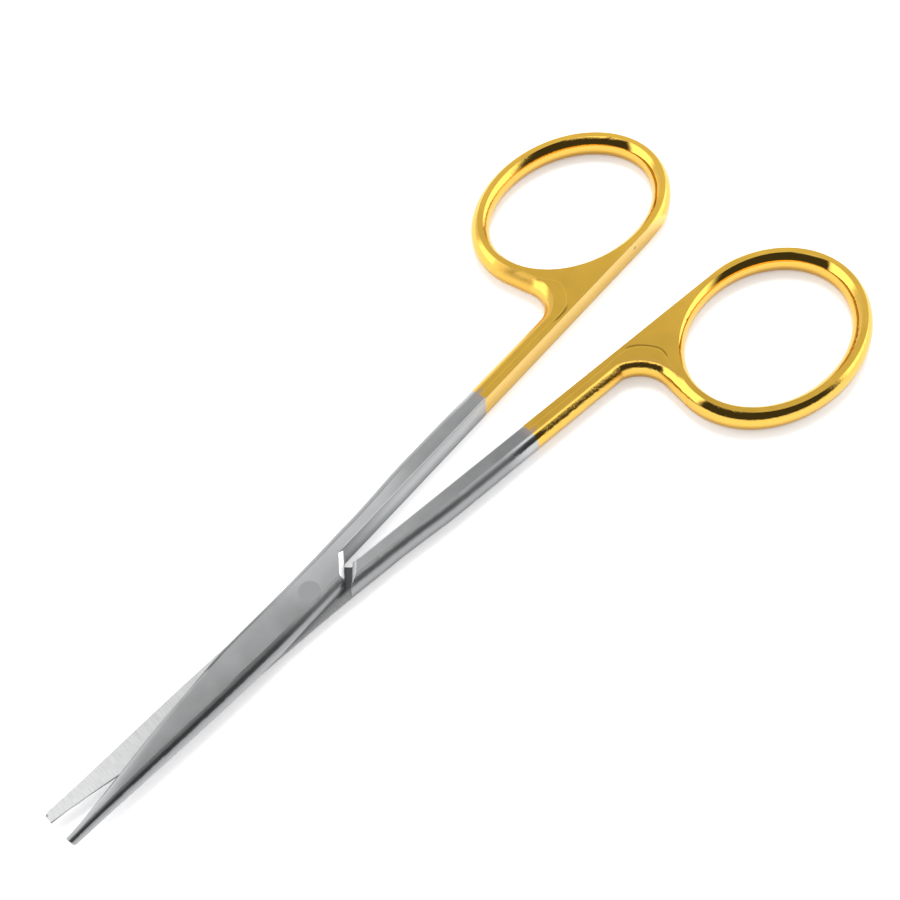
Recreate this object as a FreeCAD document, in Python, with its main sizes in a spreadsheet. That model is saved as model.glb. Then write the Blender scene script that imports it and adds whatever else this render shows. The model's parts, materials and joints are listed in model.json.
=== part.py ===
import FreeCAD, Part

import math
import os

import Sketcher
from FreeCAD import Placement, Rotation, Vector

# Strabismus scissors: two like halves, one turned over on the other, and the screw they turn on.
# Each half is built closed, in its own frame: the pivot axis is Z, the blade points along +X,
# the finger ring lies at -Y, and Z = 0 is the plane where the two halves lie on each other.
# The blade keeps the layer above that plane. The shank behind the joint has the full thickness.

SIZES = [
    ("overall_length", "115.2", "closed scissors, tip to the back of the rings"),
    ("blade_reach", "35.75", "pivot to tip"),
    ("layer_thickness", "1.73", "one layer at the joint; the shank is two"),
    ("lap_gap", "0.02", "between the two ground faces"),
    ("rest_opening", "5.6", "degrees between the halves as they lie"),
    ("ring_bar_half_width", "1.25", "the ring's bar, whose two swelling sides are arcs"),
    ("ring_bar_peak", "0.22", "above the layer, where those arcs would meet before grinding"),
    ("side_half_width", "1.64", "rounded bar of the shank's outer side"),
    ("side_crown", "0.09", "above the layer, the top of that bar before grinding"),
    ("ring_half_length", "13.85", "ring's middle line along its length"),
    ("ring_half_width", "10.32", "ring's middle line across"),
    ("ring_tilt", "4.76", "degrees, the ring's front end away from the middle"),
    ("ring_offset", "12.9", "ring's centre from the middle line"),
    ("inner_gap_front", "0.78", "inner wall from the middle line at the joint"),
    ("inner_gap_rear", "2.55", "the same wall at the back of the rings, which it grinds flat"),
    ("side_y_front", "3.22", "outer side from the middle line where the shank starts"),
    ("side_y_middle", "3.82", "the same where the shank straightens"),
    ("side_y_rear", "4.34", "the same at the round to the ring"),
    ("shank_start", "8.5", "behind the pivot, where bar and blade blank meet"),
    ("bow_length", "12", "from there to where the shank straightens"),
    ("crotch_from_ring", "18.2", "centre of the round ahead of the ring's centre"),
    ("crotch_radius", "3.75", "round between shank and ring"),
    ("crotch_inset", "0.05", "the round starts this far inside the bar"),
    ("crotch_lean", "8.4", "degrees, the web's straight side towards the ring's front"),
    ("wall_reach", "3.9", "pivot to the 45 degree wall of its own plate"),
    ("shoulder_gap", "0.65", "between that wall and the other half's shoulder"),
    ("bevel", "0.5", "on the edges of wall and shoulder"),
    ("screw_radius", "1.25", "shank of the screw"),
    ("screw_head_radius", "1.8", "head of the screw"),
    ("screw_rim", "0.15", "straight rim of the countersunk head"),
    ("screw_recess", "0.05", "head below the face"),
    ("screw_clearance", "0.03", "running fit in the lower half"),
    ("slot_width", "0.45", "driver slot"),
    ("slot_depth", "0.4", "driver slot"),
    ("tip_rounding", "0.5", "back corner of the tip"),
]

# Blade blank from the shank to the tip. Each row holds its place as a share of the blade's reach
# (the first row stands at the shank's start), the back and the cutting side from the middle line,
# the widths of their roundings, and the height of the crown, which is ground to the layer thickness.
BLADE_STATIONS = [
    (None, 2.22, 3.22, 1.60, 1.64, 1.82),
    (0.0, 2.27, 2.96, 1.60, 1.45, 1.82),
    (0.27, 2.19, 2.90, 1.50, 1.20, 1.80),
    (0.41, 2.00, 2.79, 1.40, 1.10, 1.72),
    (0.63, 1.52, 2.10, 1.35, 1.05, 1.50),
    (0.81, 1.08, 1.24, 1.05, 0.85, 1.27),
    (1.0, 0.72, 0.58, 0.64, 0.50, 1.00),
]

# The web leaves the ring's middle line at these angles round the ring, from its front end.
WEB_START = 95
WEB_END = 8

# Grinding of the cutting edge at the last blade stations, up to the tip. Each row holds how far
# the ground plane still stands off the edge there, and its width.
EDGE_STATIONS = [
    (0.30, 0.75),
    (0.0, 0.75),
    (0.0, 0.80),
    (0.0, 0.68),
    (0.0, 0.45),
]


def make_sheet(doc):
    sheet = doc.addObject("Spreadsheet::Sheet", "Sizes")
    for row, (alias, number, note) in enumerate(SIZES, start=1):
        sheet.set("A%d" % row, number)
        sheet.setAlias("A%d" % row, alias)
        sheet.set("B%d" % row, note)
    doc.recompute()
    return sheet


def new_sketch(body, name, role, offset=None):
    """A sketch on one of the body's own origin planes, moved by offset in that plane's frame."""
    plane = next(item for item in body.Origin.OriginFeatures if item.Role == role)
    sketch = body.newObject("Sketcher::SketchObject", name)
    sketch.AttachmentSupport = [(plane, "")]
    sketch.MapMode = "FlatFace"
    if offset is not None:
        sketch.AttachmentOffset = offset
    return sketch


def add_loop(sketch, curves):
    """Add curves that follow each other in a closed loop, and join their ends."""
    first = sketch.GeometryCount
    for curve in curves:
        sketch.addGeometry(curve, False)
    count = len(curves)
    for index in range(count):
        here = first + index
        after = first + (index + 1) % count
        near = min(
            ((end, start) for end in (1, 2) for start in (1, 2)),
            key=lambda pair: sketch.getPoint(here, pair[0]).distanceToPoint(
                sketch.getPoint(after, pair[1])
            ),
        )
        sketch.addConstraint(Sketcher.Constraint("Coincident", here, near[0], after, near[1]))


def add_polygon(sketch, corners):
    """A closed outline of straight sides through corners given as x and y expressions."""
    points = [
        Vector(float(sketch.evalExpression(x)), float(sketch.evalExpression(y)), 0)
        for x, y in corners
    ]
    first = sketch.GeometryCount
    sides = [Part.LineSegment(a, b) for a, b in zip(points, points[1:] + points[:1])]
    add_loop(sketch, sides)
    for index, (corner, point) in enumerate(zip(corners, points)):
        for kind, text, place in (("DistanceX", corner[0], point.x), ("DistanceY", corner[1], point.y)):
            pin = sketch.addConstraint(Sketcher.Constraint(kind, -1, 1, first + index, 1, place))
            sketch.setExpression("Constraints[%d]" % pin, text)


def upright_ellipse(middle, half_width, half_height, side):
    """An ellipse in a section sketch, whose angle runs from its top over the given side."""
    return Part.Ellipse(
        Vector(middle, half_height, 0), Vector(middle + side * half_width, 0, 0), Vector(middle, 0, 0)
    )


class HalfSizes:
    """Places that several features of a half share, worked out from the sheet."""

    def __init__(self, sheet):
        self.tilt = math.radians(sheet.ring_tilt)
        long_part = sheet.ring_half_length * math.cos(self.tilt)
        wide_part = sheet.ring_half_width * math.sin(self.tilt)
        back = math.hypot(long_part, wide_part) + sheet.ring_bar_half_width
        self.ring_centre = Vector(
            sheet.blade_reach - sheet.overall_length + back, -sheet.ring_offset, 0
        )
        self.ring_long = Vector(math.cos(self.tilt), -math.sin(self.tilt), 0) * sheet.ring_half_length
        self.ring_wide = Vector(math.sin(self.tilt), math.cos(self.tilt), 0) * sheet.ring_half_width
        self.shank_start = -sheet.shank_start
        self.crown = sheet.layer_thickness + sheet.side_crown
        self.crotch = Vector(
            self.ring_centre.x + sheet.crotch_from_ring,
            -sheet.side_y_rear - sheet.crotch_radius + sheet.crotch_inset,
            0,
        )
        half_width = sheet.side_half_width
        self.bar_front = Vector(self.shank_start, half_width - sheet.side_y_front, 0)
        self.bar_middle = Vector(
            self.shank_start - sheet.bow_length, half_width - sheet.side_y_middle, 0
        )
        self.bar_rear = Vector(self.crotch.x, half_width - sheet.side_y_rear, 0)
        lean = math.radians(sheet.crotch_lean)
        self.web_side = Vector(math.sin(lean), -math.cos(lean), 0)
        self.web_end = self.ring_point(math.radians(WEB_END))
        self.web_side_length = (self.web_end - self.crotch).dot(self.web_side)

    def ring_point(self, angle):
        return self.ring_centre + self.ring_long * math.cos(angle) + self.ring_wide * math.sin(angle)

    def ring_ellipse(self):
        return Part.Ellipse(
            self.ring_centre + self.ring_long, self.ring_centre + self.ring_wide, self.ring_centre
        )


def add_web(body, sheet, sizes):
    """The flat middle of the shank, which widens into the web that carries the ring."""
    rear = sizes.ring_point(math.radians(WEB_START))
    corners = [
        Vector(rear.x, -sheet.inner_gap_front, 0),
        Vector(sizes.shank_start, -sheet.inner_gap_front / 2, 0),
        sizes.bar_front,
        sizes.bar_middle,
        sizes.bar_rear,
        sizes.crotch,
        sizes.crotch + sizes.web_side * sizes.web_side_length,
        sizes.web_end,
    ]
    outline = [Part.LineSegment(a, b) for a, b in zip(corners, corners[1:])]
    outline.append(
        Part.ArcOfEllipse(sizes.ring_ellipse(), math.radians(WEB_END), math.radians(WEB_START))
    )
    outline.append(Part.LineSegment(rear, corners[0]))
    sketch = new_sketch(body, body.Name + "_web_outline", "XY_Plane")
    add_loop(sketch, outline)
    web = body.newObject("PartDesign::Pad", body.Name + "_web")
    web.Profile = sketch
    web.Midplane = True
    web.setExpression("Length", "2 * Sizes.layer_thickness + Sizes.side_crown")


def crotch_section(body, name, sheet, sizes):
    """Section of what is cut out beside the crotch: it leaves the bars' own swelling side."""
    half = sizes.crown
    side_middle = sheet.crotch_radius + sheet.side_half_width
    sketch = new_sketch(
        body,
        name,
        "XZ_Plane",
        Placement(
            Vector(sizes.crotch.x, 0, -sizes.crotch.y), Rotation(Vector(0, 1, 0), sheet.crotch_lean)
        ),
    )
    swelling = Part.ArcOfEllipse(
        upright_ellipse(-side_middle, sheet.side_half_width, half, 1), 0, math.pi
    )
    outline = [
        Part.LineSegment(Vector(0, half, 0), Vector(-side_middle, half, 0)),
        swelling,
        Part.LineSegment(Vector(-side_middle, -half, 0), Vector(0, -half, 0)),
        Part.LineSegment(Vector(0, -half, 0), Vector(0, half, 0)),
    ]
    add_loop(sketch, outline)
    return sketch


def cut_crotch(body, sheet, sizes):
    """Cut the round between shank and ring, and from it the straight side of the web."""
    groove = body.newObject("PartDesign::Groove", body.Name + "_crotch_round")
    groove.Profile = crotch_section(body, body.Name + "_crotch_section", sheet, sizes)
    groove.ReferenceAxis = (groove.Profile[0], ["V_Axis"])
    groove.Angle = 360
    side = body.newObject("PartDesign::Pocket", body.Name + "_web_side")
    side.Profile = crotch_section(body, body.Name + "_web_side_section", sheet, sizes)
    side.Length = sizes.web_side_length + sheet.ring_bar_half_width
    side.Reversed = True


def add_ring(body, sheet, sizes):
    """The finger ring: a bar with two swelling sides carried round an oval."""
    path = new_sketch(body, body.Name + "_ring_path", "XY_Plane")
    path.addGeometry(sizes.ring_ellipse(), False)
    start = sizes.ring_point(0)
    turn = Rotation(Vector(0, 1, 0), -sheet.ring_tilt)
    section = new_sketch(
        body,
        body.Name + "_ring_section",
        "XZ_Plane",
        Placement(Vector(start.x, 0, -start.y), turn),
    )
    top = Vector(0, sheet.layer_thickness + sheet.ring_bar_peak, 0)
    side = Vector(sheet.ring_bar_half_width, 0, 0)
    add_loop(section, [Part.Arc(top, side, -top), Part.Arc(-top, -side, top)])
    ring = body.newObject("PartDesign::AdditivePipe", body.Name + "_ring")
    ring.Profile = section
    ring.Spine = path


def add_outer_bar(body, sheet, sizes):
    """The rounded outer side of the shank, from the joint to inside the web."""
    middle = sizes.bar_middle
    along = (sizes.bar_rear - middle).normalize()
    bow = Part.BSplineCurve()
    bow.interpolate(
        Points=[sizes.bar_front, middle], InitialTangent=Vector(-1, 0, 0), FinalTangent=along
    )
    path = new_sketch(body, body.Name + "_bar_path", "XY_Plane")
    path.addGeometry(bow, False)
    path.addGeometry(
        Part.LineSegment(middle, sizes.bar_rear + along * sheet.crotch_radius), False
    )
    path.addConstraint(Sketcher.Constraint("Coincident", 0, 2, 1, 1))
    section = new_sketch(
        body,
        body.Name + "_bar_section",
        "YZ_Plane",
        Placement(Vector(0, 0, sizes.shank_start), Rotation()),
    )
    section.addGeometry(
        upright_ellipse(sizes.bar_front.y, sheet.side_half_width, sizes.crown, 1), False
    )
    bar = body.newObject("PartDesign::AdditivePipe", body.Name + "_outer_bar")
    bar.Profile = section
    bar.Spine = path


def blade_section(back, cut, back_round, cut_round, crown):
    """One section of the blade blank: two rounded sides between flat faces."""
    cut_middle = cut_round - cut
    back_middle = back - back_round
    cut_side = upright_ellipse(cut_middle, cut_round, crown, -1)
    back_side = upright_ellipse(back_middle, back_round, crown, 1)
    return [
        Part.ArcOfEllipse(cut_side, 0, math.pi),
        Part.LineSegment(Vector(cut_middle, -crown, 0), Vector(back_middle, -crown, 0)),
        Part.ArcOfEllipse(back_side, 0, math.pi),
        Part.LineSegment(Vector(back_middle, crown, 0), Vector(cut_middle, crown, 0)),
    ]


def add_blade_blank(body, sheet, sizes):
    """The joint's plate and the blade, at first in the full thickness."""
    sections = []
    for index, (share, *form) in enumerate(BLADE_STATIONS):
        place = sizes.shank_start if share is None else share * sheet.blade_reach
        section = new_sketch(
            body,
            "%s_blade_section_%d" % (body.Name, index),
            "YZ_Plane",
            Placement(Vector(0, 0, place), Rotation()),
        )
        add_loop(section, blade_section(*form))
        sections.append(section)
    blank = body.newObject("PartDesign::AdditiveLoft", body.Name + "_blade_blank")
    blank.Profile = sections[0]
    blank.Sections = sections[1:]


def grind_edge(body, sheet):
    """Grind the cutting edge to a slanting plane that runs from the crown to the lap face."""
    sections = []
    ground_stations = BLADE_STATIONS[-len(EDGE_STATIONS) :]
    for index, (station, edge_form) in enumerate(zip(ground_stations, EDGE_STATIONS)):
        share, _, cut, _, _, crown = station
        stand_off, width = edge_form
        section = new_sketch(
            body,
            "%s_edge_section_%d" % (body.Name, index),
            "YZ_Plane",
            Placement(Vector(0, 0, share * sheet.blade_reach), Rotation()),
        )
        edge = Vector(-cut - stand_off, 0, 0)
        slant = Vector(width, crown, 0)
        low = edge - slant
        high = edge + slant * 2
        corner = Vector(low.x, high.y, 0)
        sides = [(low, high), (high, corner), (corner, low)]
        add_loop(section, [Part.LineSegment(a, b) for a, b in sides])
        sections.append(section)
    ground = body.newObject("PartDesign::SubtractiveLoft", body.Name + "_cutting_edge")
    ground.Profile = sections[0]
    ground.Sections = sections[1:]


def cut_through(body, name, sketch):
    pocket = body.newObject("PartDesign::Pocket", name)
    pocket.Profile = sketch
    pocket.Type = "ThroughAll"
    pocket.Midplane = True


def round_tip(body, sheet):
    """Round the back corner of the blunt tip, in plan."""
    share, back, *_ = BLADE_STATIONS[-2]
    tip_back = BLADE_STATIONS[-1][1]
    slope = (back - tip_back) / ((1 - share) * sheet.blade_reach)
    radius = sheet.tip_rounding
    centre = Vector(sheet.blade_reach - radius, tip_back - radius * (1 - slope), 0)
    start = centre + Vector(0, radius, 0)
    middle = centre + Vector(1, 1, 0).normalize() * radius
    end = centre + Vector(radius, 0, 0)
    outer = start + Vector(2 * radius, 2 * radius, 0)
    corners = [end, Vector(outer.x, end.y, 0), outer, Vector(start.x, outer.y, 0), start]
    outline = [Part.Arc(start, middle, end)]
    outline += [Part.LineSegment(a, b) for a, b in zip(corners, corners[1:])]
    sketch = new_sketch(body, body.Name + "_tip_outline", "XY_Plane")
    add_loop(sketch, outline)
    cut_through(body, body.Name + "_tip", sketch)


def grind_faces(body):
    """Grind top and underside flat, which leaves the bars flat on top with swelling sides."""
    sketch = new_sketch(body, body.Name + "_grinding", "XZ_Plane")
    reach = "Sizes.overall_length"
    for sign in ("", "-"):
        face = sign + "Sizes.layer_thickness"
        clear = sign + "2 * Sizes.layer_thickness"
        add_polygon(sketch, [("-" + reach, face), (reach, face), (reach, clear), ("-" + reach, clear)])
    cut_through(body, body.Name + "_ground_faces", sketch)


def clear_inner_side(body):
    """Grind the shank's inner wall, straight past the ring's side, and the plate's 45 degree wall."""
    run = "Sizes.wall_reach * sqrt(2)"
    wide = "2 * Sizes.side_y_rear"
    sketch = new_sketch(body, body.Name + "_wall_outline", "XY_Plane")
    corners = [
        ("-%s - Sizes.inner_gap_front" % run, "-Sizes.inner_gap_front"),
        ("-%s + %s" % (run, wide), wide),
        ("-Sizes.overall_length", wide),
        ("-Sizes.overall_length + Sizes.blade_reach", "-Sizes.inner_gap_rear"),
    ]
    add_polygon(sketch, corners)
    cut_through(body, body.Name + "_wall", sketch)


def cut_lap(body, sheet):
    """Grind away the lower layer ahead of the shoulder, where the other half lies."""
    run = "(Sizes.wall_reach + Sizes.shoulder_gap) * sqrt(2)"
    wide = "2 * Sizes.side_y_rear"
    front = "Sizes.blade_reach + Sizes.side_y_rear"
    sketch = new_sketch(
        body, body.Name + "_lap_outline", "XY_Plane", Placement(Vector(0, 0, sheet.lap_gap / 2), Rotation())
    )
    sketch.setExpression("AttachmentOffset.Base.z", "Sizes.lap_gap / 2")
    corners = [
        ("-%s - %s" % (run, wide), wide),
        ("-%s + %s" % (run, wide), "-" + wide),
        (front, "-" + wide),
        (front, wide),
    ]
    add_polygon(sketch, corners)
    lap = body.newObject("PartDesign::Pocket", body.Name + "_lap")
    lap.Profile = sketch
    lap.Type = "ThroughAll"


def edges_near(shape, height, distance, side):
    """Straight edges at the given height that lie on a 45 degree line off the pivot."""
    names = []
    for index, edge in enumerate(shape.Edges, start=1):
        middle = edge.CenterOfMass
        off_line = side * middle.y - middle.x - distance * math.sqrt(2)
        if abs(middle.z - height) < 1e-3 and abs(off_line) < 1e-3 and edge.Length > 0.5:
            names.append("Edge%d" % index)
    return names


def bevel_joint_edges(doc, body, sheet):
    """Bevel the top edge of the wall and the underside edge of the shoulder."""
    doc.recompute()
    lap = body.Tip
    wall = edges_near(lap.Shape, sheet.layer_thickness, sheet.wall_reach, 1)
    shoulder = edges_near(
        lap.Shape, -sheet.layer_thickness, sheet.wall_reach + sheet.shoulder_gap, -1
    )
    print(body.Name, "bevelled edges", wall, shoulder)
    bevels = body.newObject("PartDesign::Chamfer", body.Name + "_bevels")
    bevels.Base = (lap, wall + shoulder)
    bevels.setExpression("Size", "Sizes.bevel")


def cut_screw_hole(body, outline):
    """Turn the screw's hole out of the joint, with its section given as radius and height."""
    sketch = new_sketch(body, body.Name + "_hole_section", "XZ_Plane")
    points = [Vector(radius, height, 0) for radius, height in outline]
    add_loop(sketch, [Part.LineSegment(a, b) for a, b in zip(points, points[1:] + points[:1])])
    hole = body.newObject("PartDesign::Groove", body.Name + "_screw_hole")
    hole.Profile = sketch
    hole.ReferenceAxis = (sketch, ["V_Axis"])
    hole.Angle = 360


def make_half(doc, sheet, name, hole_outline):
    body = doc.addObject("PartDesign::Body", name)
    body.Label = name
    sizes = HalfSizes(sheet)
    add_web(body, sheet, sizes)
    cut_crotch(body, sheet, sizes)
    add_ring(body, sheet, sizes)
    add_outer_bar(body, sheet, sizes)
    add_blade_blank(body, sheet, sizes)
    grind_faces(body)
    clear_inner_side(body)
    cut_lap(body, sheet)
    grind_edge(body, sheet)
    round_tip(body, sheet)
    bevel_joint_edges(doc, body, sheet)
    cut_screw_hole(body, hole_outline)
    doc.recompute()
    return body


def head_outline(sheet, clearance, face):
    """Section of the countersunk head and shank, from the lap face to the given outer face."""
    shank = sheet.screw_radius + clearance
    head = sheet.screw_head_radius + clearance
    head_top = sheet.layer_thickness - sheet.screw_recess
    cone_top = head_top - sheet.screw_rim
    return [
        (shank, cone_top - (head - shank)),
        (head, cone_top),
        (head, face),
    ]


def make_screw(doc, sheet):
    """The slotted screw: countersunk in the lower half, its end ground flush in the upper half."""
    body = doc.addObject("PartDesign::Body", "pivot_screw")
    body.Label = "pivot_screw"
    head_face = sheet.layer_thickness - sheet.screw_recess
    head = [(radius, -height) for radius, height in head_outline(sheet, 0, head_face)]
    outline = [(0, sheet.layer_thickness), (sheet.screw_radius, sheet.layer_thickness)] + head
    outline.append((0, -head_face))
    sketch = new_sketch(body, "screw_section", "XZ_Plane")
    points = [Vector(radius, height, 0) for radius, height in outline]
    add_loop(sketch, [Part.LineSegment(a, b) for a, b in zip(points, points[1:] + points[:1])])
    turned = body.newObject("PartDesign::Revolution", "screw_turned")
    turned.Profile = sketch
    turned.ReferenceAxis = (sketch, ["V_Axis"])
    turned.Angle = 360
    slot = new_sketch(body, "slot_outline", "XZ_Plane")
    half = "Sizes.slot_width / 2"
    floor = "-Sizes.layer_thickness + Sizes.screw_recess + Sizes.slot_depth"
    below = "-2 * Sizes.layer_thickness"
    corners = [("-" + half, below), (half, below), (half, floor)]
    corners.append(("-" + half, floor))
    add_polygon(slot, corners)
    cut_through(body, "screw_slot", slot)
    return body


def place_parts(sheet, upper_half, lower_half, pivot_screw):
    """Lay the scissors down, slightly open, centred over the origin with the underside on Z = 0."""
    half_opening = sheet.rest_opening / 2
    turned = math.radians(half_opening)
    sizes = HalfSizes(sheet)
    ring_tilt = sizes.tilt - turned
    ring_back = math.hypot(
        sheet.ring_half_length * math.cos(ring_tilt), sheet.ring_half_width * math.sin(ring_tilt)
    )
    centre = sizes.ring_centre
    ring_middle = centre.x * math.cos(turned) - centre.y * math.sin(turned)
    rear = ring_middle - ring_back - sheet.ring_bar_half_width
    tip_cut = BLADE_STATIONS[-1][2]
    front = sheet.blade_reach * math.cos(turned) + tip_cut * math.sin(turned)
    pivot = Vector(-(front + rear) / 2, 0, sheet.layer_thickness)
    upper = Placement(pivot, Rotation(half_opening, 0, 0))
    upper_half.Placement = upper
    pivot_screw.Placement = upper
    lower_half.Placement = Placement(pivot, Rotation(-half_opening, 0, 180))
    print("pivot at", pivot)


def check_and_write(doc, bodies):
    for item in doc.Objects:
        if "Invalid" in item.State or "Error" in item.State:
            raise RuntimeError("%s is %s" % (item.Name, item.State))
    os.makedirs("parts", exist_ok=True)
    for body in bodies:
        shape = body.Shape
        if shape.isNull() or not shape.isValid() or len(shape.Solids) != 1:
            raise RuntimeError("%s has no single valid solid" % body.Label)
        shape.exportStep(os.path.join("parts", body.Label + ".step"))
        box = shape.BoundBox
        print(body.Label, round(shape.Volume, 2), box)


def main():
    doc = FreeCAD.newDocument("strabismus_scissors")
    sheet = make_sheet(doc)
    through = 2 * sheet.layer_thickness
    upper_hole = [(0, -through), (sheet.screw_radius, -through), (sheet.screw_radius, through), (0, through)]
    running = sheet.screw_radius + sheet.screw_clearance
    lower_hole = [(0, -through), (running, -through)]
    lower_hole += head_outline(sheet, sheet.screw_clearance, through)
    lower_hole.append((0, through))
    upper_half = make_half(doc, sheet, "upper_half", upper_hole)
    lower_half = make_half(doc, sheet, "lower_half", lower_hole)
    pivot_screw = make_screw(doc, sheet)
    place_parts(sheet, upper_half, lower_half, pivot_screw)
    doc.recompute()
    check_and_write(doc, [upper_half, lower_half, pivot_screw])


main()
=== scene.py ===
# %% [markdown]
# Strabismus scissors, lying slightly open on a white table.
# The construction (two like halves and their screw) comes packed, in metres, with +X to the tips.
# This lesson adds what the construction doesn't hold: the camera, the table, the light, and the
# finish of each surface, which is satin ground steel in front and polished gold plating behind.

import json
import math
from types import SimpleNamespace

import bpy
from mathutils import Euler, Matrix, Vector

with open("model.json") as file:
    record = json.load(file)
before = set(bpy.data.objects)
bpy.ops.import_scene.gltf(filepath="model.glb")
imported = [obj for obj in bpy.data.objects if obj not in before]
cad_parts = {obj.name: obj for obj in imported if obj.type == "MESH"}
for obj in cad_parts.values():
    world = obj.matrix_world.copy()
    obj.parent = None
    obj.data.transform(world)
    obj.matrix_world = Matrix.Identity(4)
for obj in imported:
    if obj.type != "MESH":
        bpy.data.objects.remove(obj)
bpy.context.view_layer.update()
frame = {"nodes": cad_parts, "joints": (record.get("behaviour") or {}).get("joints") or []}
MM = 0.001
pivot = Vector(next(joint for joint in frame["joints"] if joint["name"] == "pivot")["pos_m"])
print("nodes", sorted(frame["nodes"]), "pivot at", pivot)

# %% [markdown]
# The camera looks down on the scissors from the side of the blades. Its place comes from fitting
# the four outlines of the finger rings and the long straight edges, so the perspective of the
# render matches: near parts are larger. It is given as a place and a point it looks at, both
# measured from the pivot, and a small roll.

# %% Camera
CAMERA_FROM_PIVOT = Vector((39.92, 64.59, 140.04)) * MM
TARGET_FROM_PIVOT = Vector((-24.78, -1.94, 0.0)) * MM
CAMERA_ROLL = math.radians(-3.398)
SENSOR = 36.0
FOCAL_PIXELS = 1415.67
IMAGE_PIXELS = 900
NEAREST_SEEN = 10 * MM

camera_data = bpy.data.cameras.new("camera")
camera_data.sensor_width = SENSOR
camera_data.lens = SENSOR * FOCAL_PIXELS / IMAGE_PIXELS
camera_data.clip_start = NEAREST_SEEN
camera = bpy.data.objects.new("camera", camera_data)
bpy.context.scene.collection.objects.link(camera)
bpy.context.scene.camera = camera

back = (CAMERA_FROM_PIVOT - TARGET_FROM_PIVOT).normalized()
right = Vector((0, 0, 1)).cross(back).normalized()
up = back.cross(right)
rolled_right = right * math.cos(CAMERA_ROLL) + up * math.sin(CAMERA_ROLL)
rolled_up = up * math.cos(CAMERA_ROLL) - right * math.sin(CAMERA_ROLL)
turn = Matrix((rolled_right, rolled_up, back)).transposed().to_4x4()
camera.matrix_world = Matrix.Translation(pivot + CAMERA_FROM_PIVOT) @ turn
print("camera at", camera.location, "lens", round(camera_data.lens, 2))

# %% [markdown]
# A node material is a small graph. It could be drawn by hand in the shader editor. These helpers
# build the same graph in code: they add a node, set its inputs and link it, so that each material
# below reads as a short recipe.

# %% Helpers for adding nodes
def new_tree(owner):
    owner.use_nodes = True
    owner.node_tree.nodes.clear()
    return owner.node_tree


def fill_socket(tree, socket, value):
    if isinstance(value, bpy.types.NodeSocket):
        tree.links.new(value, socket)
    else:
        socket.default_value = value


def add_node(tree, kind, settings=None, **inputs):
    """Add a node. Settings are its properties; inputs go by name, or by place as i0, i1, i2."""
    node = tree.nodes.new(kind)
    for name, value in (settings or {}).items():
        setattr(node, name, value)
    for name, value in inputs.items():
        key = int(name[1:]) if name[0] == "i" and name[1:].isdigit() else name.replace("_", " ")
        fill_socket(tree, node.inputs[key], value)
    return node


def axes(tree, vector):
    """The X, Y and Z of a vector."""
    return tuple(add_node(tree, "ShaderNodeSeparateXYZ", i0=vector).outputs)


def show(tree, shader, output="ShaderNodeOutputMaterial"):
    tree.links.new(shader.outputs[0], tree.nodes.new(output).inputs["Surface"])


print("helpers ready")

# %% [markdown]
# A place on the surface becomes a mask with smooth steps: a ramp goes from one value to another,
# and a window is one between two places. Masks are narrowed by multiplying them. A texture painted
# by hand could do the same, but a mask worked out from places in millimetres stays sharp at any
# distance and needs no picture.

# %% Helpers for masks
def math_node(tree, operation, first, second=0.0, third=0.0):
    settings = {"operation": operation}
    return add_node(tree, "ShaderNodeMath", settings, i0=first, i1=second, i2=third).outputs[0]


def ramp(tree, value, low, high, start=0.0, end=1.0):
    """A smooth step from start to end while value goes from low to high."""
    node = add_node(
        tree, "ShaderNodeMapRange", {"interpolation_type": "SMOOTHSTEP"},
        Value=value, From_Min=low, From_Max=high, To_Min=start, To_Max=end,
    )
    return node.outputs["Result"]


def falling(tree, value, low, high):
    """One below low, zero above high."""
    return ramp(tree, value, low, high, 1.0, 0.0)


def product(tree, *values):
    result = values[0]
    for value in values[1:]:
        result = math_node(tree, "MULTIPLY", result, value)
    return result


def window(tree, value, low, high, soft):
    """One while value lies between low and high, and zero outside, with soft ends."""
    rising = ramp(tree, value, low - soft, low + soft)
    return product(tree, rising, falling(tree, value, high - soft, high + soft))


print("mask helpers ready")

# %% [markdown]
# Numbers and colours are then blended by the masks. Whole shaders could be mixed instead, one for
# each finish, but all of it is metal here, and one metal with a blended colour is simpler to read
# and quicker to render.

# %% Helpers for blends
def blend(tree, factor, first, second):
    """First where factor is zero, second where it is one."""
    rest = math_node(tree, "SUBTRACT", 1.0, factor)
    return math_node(tree, "MULTIPLY_ADD", factor, second, product(tree, rest, first))


def varied(tree, value, noise, amount):
    """Value, moved up and down by a noise that goes from zero to one."""
    start = math_node(tree, "SUBTRACT", value, amount / 2)
    return math_node(tree, "MULTIPLY_ADD", noise, amount, start)


def changed(tree, value, mask, change):
    """Value, brighter by the share in change where mask is one, or darker if it is negative."""
    return product(tree, value, math_node(tree, "MULTIPLY_ADD", mask, change, 1.0))


def scaled(tree, vector, factor):
    """A colour or a place times a number."""
    settings = {"operation": "SCALE"}
    return add_node(tree, "ShaderNodeVectorMath", settings, i0=vector, Scale=factor).outputs[0]


def layered(tree, colour, *layers):
    """A colour with more colours laid over it in turn, each through its mask."""
    for mask, shade in layers:
        node = add_node(tree, "ShaderNodeMix", {"data_type": "RGBA"}, i0=mask)
        for socket, value in ((node.inputs[6], colour), (node.inputs[7], shade)):
            plain = isinstance(value, tuple)
            fill_socket(tree, socket, (*value, 1.0) if plain else value)
        colour = node.outputs[2]
    return colour


print("blend helpers ready")

# %% [markdown]
# Some effects work in both halves. They could be repeated in both materials, but a node group is
# built once and stays the same in both: it takes a place in the half's own frame and gives masks
# and values.

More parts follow.
